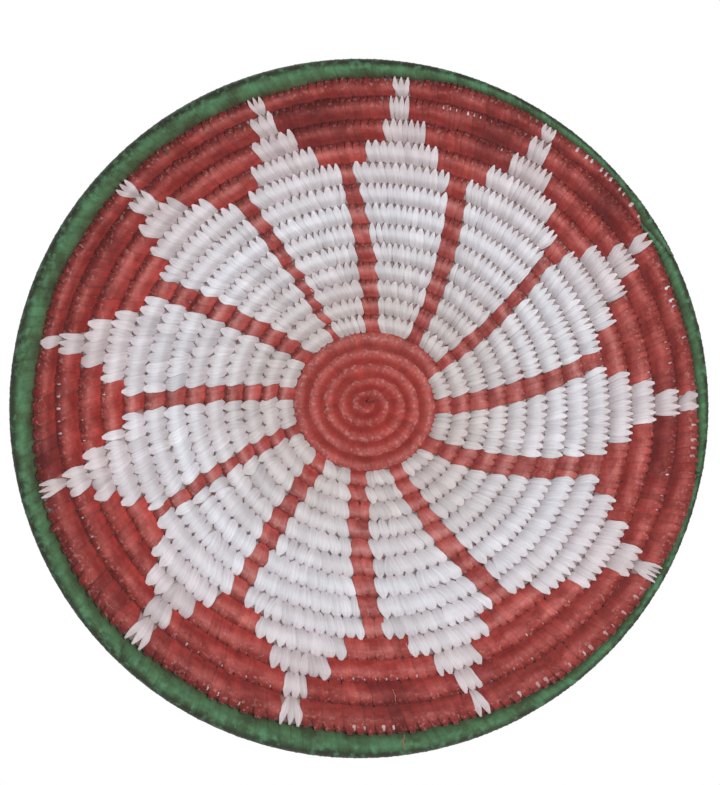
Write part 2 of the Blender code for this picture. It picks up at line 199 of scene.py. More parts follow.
def pitchAt(turn):
    swing = math.cos(math.radians(bearingOf(turn) - spacing["widestAt"]))
    pitch = spacing["pitch"] + spacing["pitchSwing"] * swing
    inside = min(max((coil["medallionTurns"] - turn) / 1.0, 0), 1)
    return pitch + (spacing["medallionPitch"] - pitch) * inside


def stitchTurns():
    turns, holes = [-0.95], [-0.95]
    notch = 0
    while turns[-1] < coil["lastTurn"]:
        around = max(2 * math.pi * float(along(pathRadius, turns[-1])), 0.012)
        turn = turns[-1] + pitchAt(turns[-1]) * (1 + spacing["uneven"] * chance.uniform(-1, 1)) / around
        hole = turn
        if turn > 1.3:
            inner = turn - 1 + spacing["lean"] / around
            while (turns[notch + 1] + turns[notch + 2]) / 2 < inner:
                notch += 1
            before, after = ((turns[notch + step] + turns[notch + step + 1]) / 2 for step in (0, 1))
            nearest = before if inner - before < after - inner else after
            turn += spacing["pull"] * (nearest - inner) * (turn > coil["medallionTurns"] - 1)
            hole = nearest + 1
        turns.append(turn)
        holes.append(hole)
    return np.array(turns[:-1]), np.array(holes[:-1])


def petalSpans():
    # (first turn, last turn, petal number, row) of every stretch of white
    spans = []
    for number, (tip, widestTurn, baseTurn, widest, base) in enumerate(petals, 1):
        for row in range(1, coil["petalRows"] + 1):
            if row <= widestRow:
                rise = (row - 1) / (widestRow - 1)
                middle = tip + baseTurn + (widestTurn - baseTurn) * rise
                width = base + (widest - base) * rise
                edges = (middle - width / 2, middle + width / 2)
            else:
                edges = [tip + edge for edge in petalSteps[number - 1][row - widestRow - 1]]
            ring = coil["medallionTurns"] + row - 1
            left, right = ((edge - coil["seam"]) / 360 + ring for edge in edges)
            spans.append((left, right, number, row))
    return sorted(spans)


def fitToPetals(turns, holes):
    # Shift the gaps between the stitches a little so that they fall on the petals' edges
    gaps = (turns[1:] + turns[:-1]) / 2
    gaps = np.concatenate([[2 * turns[0] - gaps[0]], gaps, [2 * turns[-1] - gaps[-1]]])
    marks, edges = [gaps[0]], [gaps[0]]
    for left, right, number, row in petalSpans():
        start = int(np.argmin(np.abs(gaps - left)))
        count = int(np.argmin(np.abs(gaps - right))) - start
        if row == coil["petalRows"]:
            count = tipStitches[number - 1]
        elif row == coil["petalRows"] - 1:
            count = max(count, 3)
        marks += [gaps[start], gaps[start + count]]
        edges += [left, right]
    marks.append(gaps[-1])
    edges.append(gaps[-1])
    return splitWide(np.interp(gaps, marks, edges), np.interp(holes, marks, edges))


def splitWide(gaps, holes):
    # A stitch that came out much too wide becomes two
    middles = (gaps[1:] + gaps[:-1]) / 2
    usual = np.array([pitchAt(turn) for turn in middles]) / (2 * math.pi * along(pathRadius, middles))
    wide = (np.diff(gaps) > 1.5 * usual) & (middles > coil["medallionTurns"]) & (middles < rimTurn - 1)
    number = np.repeat(np.arange(len(middles)), 1 + wide)
    quarter = np.where(wide, np.diff(gaps) / 4, 0)[number]
    holes = holes[number] + np.where(number == np.roll(number, 1), quarter, -quarter)
    gaps = np.sort(np.concatenate([gaps, middles[wide]]))
    return (gaps[1:] + gaps[:-1]) / 2, np.diff(gaps), holes


turns, pitches, holes = fitToPetals(*stitchTurns())
# Which strand each stitch is of: red, a petal's number or green
redOwner, greenOwner = 0, 99
owner = np.zeros(len(turns), int)
# How far each stitch's inner end moves along the coil, to the hole that it goes into
holeShift = np.where(
    turns < coil["medallionTurns"], 0, np.clip(holes - turns, -0.6 * pitches, 0.6 * pitches),
)
fanned = np.zeros(len(turns))
spread = np.zeros(len(turns))
# The few stitches of a petal's last two rows fan out of one hole: by row, the inner end and the outer
innerFan = {13: 0.72, 12: 0.25}
outerFan = {13: 0.2, 12: 0.08}
usualFan = 0.06
for left, right, number, row in petalSpans():
    inside = (turns > left) & (turns < right)
    owner[inside] = number
    fan = innerFan.get(row, usualFan)
    holeShift[inside] += fan * ((left + right) / 2 - turns[inside])
    fanned[inside] = fan
    spread[inside] = outerFan.get(row, 0) * (turns[inside] - (left + right) / 2)
owner[turns >= rimTurn] = greenOwner
whiteCount = int(((owner > 0) & (owner < greenOwner)).sum())
print(f"Stitches: {len(turns)}, white {whiteCount}, green {int((owner == greenOwner).sum())}")

# How pointed each stitch is at the outer edge: most at the top right, hardly in the middle, not on the rim
teeth = 0.62 + 0.38 * np.cos(np.radians(bearingOf(turns) - 35))
teeth = np.where(owner == redOwner, 0.75 * teeth + 0.1, teeth) * chance.uniform(0.72, 1.08, len(turns))
lastRow = turns > rimTurn - 1
teeth = np.where(lastRow & (owner == redOwner), chance.uniform(0.6, 1.1, len(turns)), teeth)
# White stitches at a petal's edge, with another colour outside them, reach out over it in points
nextOut = owner[np.clip(np.searchsorted(turns, turns + 1), 0, len(turns) - 1)]
overhang = np.where((owner > 0) & (owner < greenOwner) & (nextOut != owner), 0.11, 0.0)
teeth = np.where(overhang > 0, np.maximum(teeth, np.where(lastRow, 0.72, 0.92)), teeth)
overhang = np.where((overhang > 0) & lastRow, 0.16, overhang)
overhang = np.where(lastRow & (owner == redOwner), chance.uniform(0.0, 0.12, len(turns)), overhang)
teeth = np.where(turns < coil["medallionTurns"] - 0.5, 0.1, teeth)
teeth = np.where(owner == greenOwner, 0.0, teeth)
# Painted shade: how steeply it falls off from each row's crest, and the bearing where it is steepest
crest = 0.3
crestShadeFalloff = dict(red=1.08, redSwing=0.16, redBearing=325, white=1.0, whiteSwing=0.15, whiteBearing=-10)
facing = np.cos(np.radians(bearingOf(turns) - crestShadeFalloff["whiteBearing"]))
facingRed = np.cos(np.radians(bearingOf(turns) - crestShadeFalloff["redBearing"]))
redShadeFalloff = crestShadeFalloff["red"] + crestShadeFalloff["redSwing"] * facingRed
deeper = np.where(owner == redOwner, redShadeFalloff, crestShadeFalloff["white"] + crestShadeFalloff["whiteSwing"] * facing)
deeper = np.where(turns < coil["medallionTurns"], 1.0, deeper)
# The stitches of the middle lie flatter and closer
flatter = np.where(turns < coil["medallionTurns"], 0.5, 1.0)
closer = np.where(owner == redOwner, 1.06, np.where(owner == greenOwner, 1.15, 0.0))
closer = np.where(turns < coil["medallionTurns"], 1.45, closer)

# Painted shade on the sides of each row away from the light: how much darker each row is outside its crest,
# then inside it: the level, how much it swings round the plate, and the bearing where it is most
shading = dict(
    red=((0.075, 0.16, 305), (0.0, 0.09, 0)), white=((0.0, 0.0, 0), (0.07, 0.09, 315)),
    middle=((0.0, 0.05, 270), (0.0, 0.05, 270)),
)


def shadeOf(side):
    def amount(kind):
        level, swing, bearing = shading[kind][side]
        return level + swing * np.cos(np.radians(bearingOf(turns) - bearing))

    ground = np.where(turns < coil["medallionTurns"], amount("middle"), amount("red"))
    return np.where(owner == redOwner, ground, np.where(owner == greenOwner, 0, amount("white")))


shadeOut, shadeIn = shadeOf(0), shadeOf(1)
# Painted shade in the lines between the stitches, how dark: red, green, white and the middle
stitchGapShade = np.where(owner == redOwner, 0.22, np.where(owner == greenOwner, 0.24, 0.08))
stitchGapShade = np.where(turns < coil["medallionTurns"], 0.08, stitchGapShade)

# Stretches dyed darker: first and last bearing, row outside the medallion, how much darker
darkDye = [
    (18, 32, 11, 0.7), (20, 31, 12, 0.8), (44, 57, 12, 0.9), (46, 56, 13, 0.6), (79, 111, 12, 0.9),
    (168, 182, 12, 0.8), (170, 180, 13, 0.7), (252, 267, 13, 0.8), (338, 362, 11, 0.7), (336, 360, 12, 0.8),
    (150, 160, 12, 0.5), (296, 306, 12, 0.5),
]
stains = np.zeros(len(turns))
for first, last, row, amount in darkDye:
    start = coil["medallionTurns"] + row - 1 + ((first - coil["seam"]) % 360) / 360
    across = (last - first) / 360
    near = np.clip(1.3 - np.abs((turns - start) / across - 0.5) * 2.6, 0, 1)
    stains = np.maximum(stains, near * amount * (owner == redOwner))

# One stitch, round the row from where it comes out in front, over the outer edge, behind and back in.
# Each line: outward, forward when blunt and when pointed, as shares of half the row,
# width when blunt and when pointed, as shares of the pitch, and thickness.
stitchPath = np.array([
    (-1.30, 0.38, 0.16, 0.30, 0.28, 0.00020),
    (-1.12, 0.51, 0.30, 0.56, 0.52, 0.00026),
    (-0.95, 0.62, 0.45, 0.86, 0.86, 0.00030),
    (-0.72, 0.76, 0.65, 1.12, 1.14, 0.00034),
    (-0.38, 0.90, 0.87, 1.24, 1.22, 0.00038),
    (0.02, 0.97, 0.98, 1.26, 1.24, 0.00040),
    (0.36, 0.96, 0.98, 1.26, 1.18, 0.00040),
    (0.64, 0.86, 0.87, 1.20, 0.94, 0.00040),
    (0.86, 0.70, 0.70, 1.02, 0.54, 0.00038),
    (1.04, 0.42, 0.46, 0.76, 0.16, 0.00030),
    (1.02, -0.08, -0.08, 0.88, 0.55, 0.00028),
    (0.84, -0.52, -0.52, 1.14, 1.00, 0.00032),
    (0.48, -0.88, -0.88, 1.18, 1.16, 0.00036),
    (0.00, -0.97, -0.97, 1.20, 1.20, 0.00038),
    (-0.60, -0.80, -0.80, 1.08, 1.08, 0.00035),
    (-1.06, -0.38, -0.38, 0.55, 0.55, 0.00028),
])
stitchDetail = dict(
    steps=26, across=11, flatness=2.2, strands=2.5, ridge=0.00010, sunk=0.00016, reach=0.10,
    unevenReach=0.055, unevenRise=0.015, redApart=0.55,
)


def smoothLoop(points, count):
    # A closed Catmull-Rom curve through the points, at evenly numbered steps
    where = np.arange(count) / count * len(points)
    index = where.astype(int)
    share = (where - index)[:, None]
    a, b, c, d = (points[(index + shift) % len(points)] for shift in (-1, 0, 1, 2))
    second = (2 * a - 5 * b + 4 * c - d) * share ** 2
    third = (3 * b - a - 3 * c + d) * share ** 3
    return 0.5 * (2 * b + (c - a) * share + second + third)


loopSteps = smoothLoop(stitchPath, stitchDetail["steps"])


def addMesh(name, spots, faces, values):
    mesh = bpy.data.meshes.new(name)
    mesh.from_pydata(spots.reshape(-1, 3), [], faces)
    mesh.polygons.foreach_set("use_smooth", np.ones(len(mesh.polygons), bool))
    for key, value in values.items():
        value = np.asarray(value, np.float32)
        kind = "FLOAT_VECTOR" if value.shape[-1] == 3 and value.ndim == spots.ndim else "FLOAT"
        layer = mesh.attributes.new(key, kind, "POINT")
        layer.data.foreach_set("vector" if kind == "FLOAT_VECTOR" else "value", value.ravel())
    mesh.update()
    piece = bpy.data.objects.new(name, mesh)
    bpy.context.scene.collection.objects.link(piece)
    return piece


def bindStitches(name, chosen, replaced):
    count, steps, across = len(chosen), stitchDetail["steps"], stitchDetail["across"]
    turn = turns[chosen][:, None, None]
    half = along(pathHalf, turns[chosen])[:, None]
    pitch = (pitches[chosen] * 2 * math.pi * along(pathRadius, turns[chosen]))[:, None, None]
    uneven = chance.normal(0, 1, (6, count))
    uneven[0] *= owner[chosen] != greenOwner
    share, rise = loopSteps[:, 0], loopSteps[:, 1]
    pointed = teeth[chosen][:, None]
    edge = np.clip((share - 0.5) / 0.5, 0, 1) * (rise > 0)
    over = overhang[chosen][:, None]
    reach = stitchDetail["reach"] * pointed + over + stitchDetail["unevenReach"] * uneven[0][:, None]
    outward = share * half * (1 + edge * reach)
    forward = (rise + (loopSteps[:, 2] - rise) * pointed) * half
    forward = forward * (1 + stitchDetail["unevenRise"] * uneven[1][:, None]) + edge ** 2 * over * half
    stepOut = np.roll(outward, -1, 1) - np.roll(outward, 1, 1)
    stepUp = np.roll(forward, -1, 1) - np.roll(forward, 1, 1)
    long = np.hypot(stepOut, stepUp)
    normalOut, normalUp = -stepUp / long, stepOut / long

    # Across the stitch: a low crown with a few strands lying side by side
    angle = np.linspace(0, math.pi, across)
    power = 2 / stitchDetail["flatness"]
    side = -np.sign(np.cos(angle)) * np.abs(np.cos(angle)) ** power
    crown = np.abs(np.sin(angle)) ** power
    widths = loopSteps[:, 3] + (loopSteps[:, 4] - loopSteps[:, 3]) * pointed
    widths = widths * (1 - 0.6 * fanned[chosen][:, None] * np.clip((0.2 - share) / 1.2, 0, 1))
    apart = np.where(owner[chosen] == redOwner, stitchDetail["redApart"], 0.0)[:, None]
    apart = apart * (turns[chosen] > coil["medallionTurns"])[:, None]
    widths = np.maximum(widths, closer[chosen][:, None] * (1 - apart * np.clip((share - 0.6) / 0.4, 0, 1)))
    width = pitch / 2 * widths[:, :, None] * (1 + 0.07 * uneven[2][:, None, None])
    flat = flatter[chosen][:, None, None]
    thick = flat * loopSteps[:, 5][None, :, None] * (1 + 0.15 * uneven[3][:, None, None])
    strandPhase = side * math.pi * stitchDetail["strands"] + 0.8 * uneven[4][:, None, None]
    lift = crown * (thick + flat * stitchDetail["ridge"] * np.cos(strandPhase)) - stitchDetail["sunk"]
    shift = holeShift[chosen][:, None] * np.clip((0.3 - share) / 1.5, 0, 1)
    lean = spacing["lean"] * 0.35 * np.clip(share, 0, 1) * (rise > -0.2)
    radius = along(pathRadius, turns[chosen])[:, None, None]
    shift = shift + spread[chosen][:, None] * np.clip((share - 0.2) / 0.8, 0, 1)
    turnAt = turn + shift[:, :, None] + (side * width - lean[None, :, None]) / (2 * math.pi * radius)
    outAt = outward[:, :, None] + normalOut[:, :, None] * lift
    upAt = forward[:, :, None] + normalUp[:, :, None] * lift
    spots = place(turnAt, outAt, upAt)

    number = np.arange(count * steps * across).reshape(count, steps, across)
    nextStep = np.roll(number, -1, 1)
    faces = np.stack(
        [number, np.roll(number, -1, 2), np.roll(nextStep, -1, 2), nextStep], -1,
    ).reshape(-1, 4)
    shape = (count, steps, across)
    length = np.cumsum(long / 2, 1)[:, :, None]
    offset = chance.uniform(0, 0.5, (count, 1, 1))
    outside = np.clip((share - 0.1) / 0.5, 0, 1)
    inside = np.clip((0.05 - share) / 0.4, 0, 1)
    shade = shadeOut[chosen][:, None] * outside + shadeIn[chosen][:, None] * inside
    # shade holds painted shade on the side away from the light and between stitches; rise places the painted
    # groove shade and crest highlight
    values = dict(
        tint=uneven[5][:, None, None] * np.ones(shape),
        shade=shade[:, :, None] + stitchGapShade[chosen][:, None, None] * side ** 4,
        rise=(crest + (share - crest)[None, :, None] * deeper[chosen][:, None, None]) * np.ones(shape),
        row=(turn - coil["medallionTurns"]) * np.ones(shape),
        stain=stains[chosen][:, None, None] * np.ones(shape),
        fibre=np.stack([side * width + offset, length * np.ones(shape), offset * np.ones(shape)], -1),
        way=np.stack([along(pathLength, turnAt), along(pathRadius, turnAt) + outAt, upAt], -1),
    )
    piece = addMesh(name, spots, faces.tolist(), values)
    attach(piece, "root")
    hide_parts(*replaced)
    return piece


def nodeSetter(material):
    nodes, links = material.node_tree.nodes, material.node_tree.links

    def add(kind, inputs=(), **settings):
        node = nodes.new(kind)
        for key, value in settings.items():
            setattr(node, key, value)
        for key, value in dict(inputs).items():
            if isinstance(value, bpy.types.NodeSocket):
                links.new(value, node.inputs[key])
            else:
                node.inputs[key].default_value = value
        return node

    return add


def stretch(add, value, low, high, toLow=0.0, toHigh=1.0):
    # Spreads what lies between low and high over another range
    ends = {"From Min": low, "From Max": high, "To Min": toLow, "To Max": toHigh}
    return add("ShaderNodeMapRange", inputs={"Value": value, **ends})


def rampStops(ramp, stops):
    while len(ramp.elements) > 1:
        ramp.elements.remove(ramp.elements[-1])
    ramp.elements[0].position, ramp.elements[0].color = stops[0][0], (*stops[0][1], 1)
    for position, colour in stops[1:]:
        ramp.elements.new(position).color = (*colour, 1)


def fibreMaterial(name, finish):
    # Strands of fibre along each stitch, a tone of its own for each stitch, painted shade where stitches go
    # in and a painted highlight on their crests
    material = bpy.data.materials.new(name)
    material.use_nodes = True
    add = nodeSetter(material)
    shader = material.node_tree.nodes["Principled BSDF"]
    links = material.node_tree.links
    fibre = add("ShaderNodeAttribute", attribute_name="fibre")
    tint = add("ShaderNodeAttribute", attribute_name="tint")
    rise = add("ShaderNodeAttribute", attribute_name="rise")
    row = add("ShaderNodeAttribute", attribute_name="row")
    stain = add("ShaderNodeAttribute", attribute_name="stain")
    way = add("ShaderNodeAttribute", attribute_name="way")
    shade = add("ShaderNodeAttribute", attribute_name="shade")

    stretched = add(
        "ShaderNodeVectorMath", operation="MULTIPLY",
        inputs={0: fibre.outputs["Vector"], 1: (1300, 90, 900)},
    )
    strands = add(
        "ShaderNodeTexNoise",
        inputs={"Vector": stretched.outputs[0], "Scale": 1.0, "Detail": 3.0, "Roughness": 0.65},
    )
    alongRow = add(
        "ShaderNodeVectorMath", operation="MULTIPLY",
        inputs={0: way.outputs["Vector"], 1: (finish["patchStretch"], 1, 1)},
    )
    patches = add(
        "ShaderNodeTexNoise",
        inputs={
            "Vector": alongRow.outputs[0], "Scale": finish["patchScale"], "Detail": 4.0, "Roughness": 0.6,
        },
    )
    rowShare = stretch(add, row.outputs["Fac"], -5.0, 14.0)
    base = add("ShaderNodeValToRGB", inputs={"Fac": rowShare.outputs[0]})
    rampStops(base.color_ramp, finish["rows"])
    # Painted shade and highlight across each row: darker in the grooves where stitches go in, lighter at the
    # crest
    riseShare = stretch(add, rise.outputs["Fac"], -1.4, 1.1)
    crestLightGrooveShade = add("ShaderNodeValToRGB", inputs={"Fac": riseShare.outputs[0]})
    rampStops(crestLightGrooveShade.color_ramp, finish["rise"])

    # Tone: from the stitch and from strands, and patches that are paler or deeper
    lit = add("ShaderNodeMath", operation="SUBTRACT", inputs={0: 1.0, 1: shade.outputs["Fac"]})
    tone = add(
        "ShaderNodeMath", operation="MULTIPLY_ADD",
        inputs={0: tint.outputs["Fac"], 1: finish["stitchTone"], 2: lit.outputs[0]},
    )
    patchShare = stretch(add, patches.outputs[0], 0.36, 0.64)
    patch = add(
        "ShaderNodeMix", data_type="VECTOR",
        inputs={0: patchShare.outputs[0], 4: finish["deepPatch"], 5: finish["palePatch"]},
    )
    strand = stretch(add, strands.outputs[0], 0.3, 0.7, 1 - finish["strandTone"], 1 + finish["strandTone"])
    both = add("ShaderNodeMath", operation="MULTIPLY", inputs={0: tone.outputs[0], 1: strand.outputs[0]})
    shaped = add(
        "ShaderNodeVectorMath", operation="MULTIPLY",
        inputs={0: base.outputs["Color"], 1: crestLightGrooveShade.outputs["Color"]},
    )
    patched = add(
        "ShaderNodeVectorMath", operation="MULTIPLY", inputs={0: shaped.outputs[0], 1: patch.outputs[1]},
    )
    toned = add(
        "ShaderNodeVectorMath", operation="SCALE", inputs={0: patched.outputs[0], "Scale": both.outputs[0]},
    )
    # Pale worn specks, most of them from the crests outwards
    specks = add(
        "ShaderNodeTexNoise",
        inputs={
            "Vector": way.outputs["Vector"], "Scale": finish["speckScale"], "Detail": 2.0, "Roughness": 0.5,
        },
    )
    speck = stretch(add, specks.outputs[0], finish["speckFrom"], 0.70, 0.0, finish["specks"])
    crestShare = stretch(add, rise.outputs["Fac"], -0.3, 0.4)
    speckShare = add(
        "ShaderNodeMath", operation="MULTIPLY", inputs={0: speck.outputs[0], 1: crestShare.outputs[0]},
    )
    specked = add(
        "ShaderNodeMix", data_type="VECTOR",
        inputs={0: speckShare.outputs[0], 4: toned.outputs[0], 5: finish["speckColour"]},
    )
    stained = add(
        "ShaderNodeVectorMath", operation="MULTIPLY", inputs={0: specked.outputs[1], 1: finish["stain"]},
    )
    colour = add(
        "ShaderNodeMix", data_type="VECTOR",
        inputs={0: stain.outputs["Fac"], 4: specked.outputs[1], 5: stained.outputs[0]},
    )
    links.new(colour.outputs[1], shader.inputs["Base Color"])

    rough = stretch(add, strands.outputs[0], 0.3, 0.7, finish["rough"] - 0.08, finish["rough"] + 0.08)
    links.new(rough.outputs[0], shader.inputs["Roughness"])
    bump = add(
        "ShaderNodeBump",
        inputs={"Height": strands.outputs[0], "Strength": finish["bump"], "Distance": 0.0004},
    )
    links.new(bump.outputs[0], shader.inputs["Normal"])
    shader.inputs["Sheen Weight"].default_value = finish["sheen"]
    shader.inputs["Sheen Roughness"].default_value = 0.5
    shader.inputs["Specular IOR Level"].default_value = 0.25
    return material


redFinish = dict(
    rows=[
        (0.03, (0.36, 0.062, 0.054)), (0.13, (0.40, 0.075, 0.065)), (0.19, (0.415, 0.086, 0.075)),
        (0.24, (0.385, 0.083, 0.074)), (0.29, (0.43, 0.116, 0.107)), (0.45, (0.44, 0.140, 0.131)),
        (0.66, (0.43, 0.135, 0.126)), (0.77, (0.42, 0.094, 0.084)), (0.82, (0.38, 0.076, 0.068)),
        (0.87, (0.325, 0.056, 0.050)), (0.92, (0.300, 0.054, 0.048)),
    ],
    # rise: painted shade deep in the grooves and a painted highlight on the crest, by place across the row
    rise=[
        (0.06, (0.86, 0.34, 0.32)), (0.18, (0.96, 0.44, 0.41)), (0.30, (0.84, 0.46, 0.43)),
        (0.44, (0.85, 0.62, 0.60)), (0.58, (0.96, 0.92, 0.92)), (0.67, (1.0, 1.08, 1.08)),
        (0.78, (0.86, 0.76, 0.74)), (0.88, (0.68, 0.44, 0.41)), (0.98, (0.52, 0.25, 0.23)),
    ],
    stain=(0.50, 0.36, 0.38), stitchTone=0.07, patchScale=170.0, patchStretch=0.6,
    deepPatch=(0.72, 0.48, 0.46), palePatch=(1.2, 1.42, 1.42),
    strandTone=0.18, rough=0.78, bump=0.5, sheen=0.2, specks=0.35, speckScale=650.0, speckFrom=0.56,
    speckColour=(0.56, 0.29, 0.27),
)
middleFinish = dict(
    redFinish, deepPatch=(0.85, 0.70, 0.68), palePatch=(1.1, 1.25, 1.25),
    specks=0.5, speckFrom=0.52,
    # rise: painted shade in the grooves between the rings of the middle, lighter towards the crests
    rise=[
        (0.14, (0.80, 0.43, 0.40)), (0.24, (0.72, 0.36, 0.33)), (0.34, (0.70, 0.36, 0.33)),
        (0.42, (0.74, 0.42, 0.39)), (0.50, (0.80, 0.54, 0.52)), (0.58, (0.86, 0.72, 0.70)),
        (0.66, (0.92, 0.90, 0.90)), (0.74, (0.94, 0.96, 0.96)), (0.82, (0.91, 0.86, 0.86)),
        (0.90, (0.86, 0.68, 0.66)), (0.98, (0.75, 0.47, 0.44)),
    ],
)
whiteFinish = dict(
    rows=[
        (0.29, (0.60, 0.545, 0.535)), (0.39, (0.625, 0.575, 0.575)), (0.45, (0.64, 0.605, 0.62)),
        (0.55, (0.68, 0.66, 0.69)), (0.61, (0.71, 0.71, 0.75)), (0.71, (0.69, 0.665, 0.70)),
        (0.77, (0.68, 0.63, 0.655)), (0.82, (0.635, 0.56, 0.575)), (0.92, (0.61, 0.535, 0.545)),
    ],
    # rise: painted shade in the grooves, lightened again at both ends
    rise=[
        (0.06, (1.04, 0.98, 0.97)), (0.17, (0.94, 0.89, 0.88)), (0.26, (0.86, 0.82, 0.815)),
        (0.40, (0.87, 0.845, 0.845)), (0.58, (0.925, 0.925, 0.925)), (0.72, (0.915, 0.915, 0.915)),
        (0.82, (0.865, 0.845, 0.845)), (0.90, (0.91, 0.87, 0.87)), (0.97, (1.06, 1.0, 1.0)),
    ],
    specks=0.0, speckScale=400.0, speckFrom=0.56, speckColour=(0.7, 0.7, 0.7),
    stain=(0.80, 0.52, 0.48), stitchTone=0.05, patchScale=60.0, patchStretch=0.6,
    deepPatch=(0.94, 0.92, 0.92), palePatch=(1.06, 1.07, 1.08),
    strandTone=0.13, rough=0.88, bump=0.5, sheen=0.1,
)
greenFinish = dict(
    rows=[(0.0, (0.058, 0.125, 0.058)), (1.0, (0.058, 0.125, 0.058))],
    # rise: painted shade in the grooves on both sides of the rim, warmer where it meets the red, and a
    # painted highlight on the crest
    rise=[
        (0.1, (1.05, 0.40, 0.38)), (0.22, (1.05, 0.52, 0.50)), (0.36, (0.92, 0.74, 0.72)),
        (0.52, (0.95, 0.95, 0.95)), (0.70, (1.04, 1.08, 1.10)), (0.79, (0.86, 0.84, 0.84)),
        (0.86, (0.56, 0.46, 0.44)), (0.93, (0.34, 0.22, 0.19)),
    ],
    stain=(0.6, 0.6, 0.6), stitchTone=0.06, patchScale=130.0, patchStretch=0.8,
    deepPatch=(0.72, 0.56, 0.50), palePatch=(1.2, 1.34, 1.36),
    strandTone=0.18, rough=0.78, bump=0.5, sheen=0.2, specks=0.6, speckScale=330.0, speckFrom=0.50,
    speckColour=(0.10, 0.25, 0.135),
)
coreFinish = dict(
    rows=[(0.0, (1, 1, 1)), (1.0, (1, 1, 1))], rise=[(0.0, (1, 1, 1)), (1.0, (1, 1, 1))],
    stain=(1, 1, 1), stitchTone=0.0, patchScale=60.0, patchStretch=1.0, deepPatch=(1, 1, 1),
    palePatch=(1, 1, 1),
    strandTone=0.2, rough=0.9, bump=0.5, sheen=0.0, specks=0.0, speckScale=400.0, speckFrom=0.56,
    speckColour=(0, 0, 0),
)
red = fibreMaterial("red_fibre", redFinish)
middleRed = fibreMaterial("red_fibre_middle", middleFinish)
white = fibreMaterial("white_fibre", whiteFinish)
pinkish = fibreMaterial("white_fibre_in_red", dict(whiteFinish, stain=(0.72, 0.40, 0.37)))
pink = fibreMaterial(
    "stained_white_fibre", dict(whiteFinish, rows=[(0.0, (0.46, 0.24, 0.23)), (1.0, (0.46, 0.24, 0.23))]),
)
green = fibreMaterial("green_fibre", greenFinish)


# The rope that the stitches go round, seen only deep in the notches between them: coloured like the strands
# that dye it and darkened with painted shade
core = dict(
    outward=1.06, forward=0.86, stepsATurn=90, sides=14, red=(0.30, 0.052, 0.045), white=(0.40, 0.33, 0.32),
    green=(0.03, 0.055, 0.03),
)


def ropeMaterial():
    material = fibreMaterial("stained_and_shaded_grass", coreFinish)
    dyeAndShade = nodeSetter(material)("ShaderNodeAttribute", attribute_name="dyeAndShade")
    shader = material.node_tree.nodes["Principled BSDF"]
    material.node_tree.links.new(dyeAndShade.outputs["Color"], shader.inputs["Base Color"])
    return material


def grassCore():
    stepping = np.arange(-1.0, coil["lastTurn"] - 0.002, 1 / core["stepsATurn"])
    half = along(pathHalf, stepping)[:, None]
    angle = np.arange(core["sides"]) / core["sides"] * 2 * math.pi
    outward = half * np.cos(angle) * core["outward"]
    forward = half * np.sin(angle) * core["forward"]
    spots = place(stepping[:, None] * np.ones(core["sides"]), outward, forward)
    number = np.arange(spots.shape[0] * core["sides"]).reshape(-1, core["sides"])
    around = np.roll(number, -1, 1)
    faces = np.stack([number[:-1], around[:-1], around[1:], number[1:]], -1).reshape(-1, 4).tolist()
    faces += [number[0].tolist(), number[-1][::-1].tolist()]
    flat = np.ones(number.shape)
    length = (stepping * 2 * math.pi * along(pathRadius, stepping))[:, None] * flat
    nearest = np.clip(np.searchsorted(turns, stepping), 0, len(turns) - 1)
    kinds = np.where(owner[nearest] == greenOwner, 2, np.minimum(owner[nearest], 1))
    # Each stretch of rope takes its strand's colour, darkened with painted shade
    dyesAndShade = np.array([core["red"], core["white"], core["green"]])[kinds]
    fibre = np.stack([angle * half, length * 0.1, flat * 0], -1)
    dyeAndShade = dyesAndShade[:, None, :] * flat[:, :, None]
    values = dict(tint=flat * 0, rise=flat, row=flat * 0, stain=flat * 0, fibre=fibre, dyeAndShade=dyeAndShade)
    piece = addMesh("grass_core", spots, faces, values)
    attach(piece, "root")
    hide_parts("red_bound_coil")
    piece.data.materials.append(ropeMaterial())
    return piece


grassCore()
groups = [
    ("red_medallion", 0, 5), ("red_rays", 5, 14), ("red_row_10", 14, 15), ("red_row_11", 15, 16),
    ("red_row_12", 16, 17), ("red_row_13", 17, 18),
]
for name, first, last in groups:
    chosen = np.nonzero((owner == redOwner) & (turns >= first) & (turns < last))[0]
    bound = bindStitches(name, chosen, ["red_bound_coil"])
    bound.data.materials.append(middleRed if name == "red_medallion" else red)
for number in range(1, len(petals) + 1):
    chosen = np.nonzero(owner == number)[0]
    name = f"white_petal_{number:02d}"
    bindStitches(f"white_stitches_{number:02d}", chosen, [name]).data.materials.append(white)
chosen = np.nonzero(owner == greenOwner)[0]
bindStitches("green_stitches", chosen, ["green_rim_binding"]).data.materials.append(green)
print("Bound the rows")


def faceAt(outward):
    # How far forward the front of the stitches is, beside the row's middle
    front = stitchPath[:10]
    return np.interp(outward, front[:, 0], front[:, 1:3].mean(1))


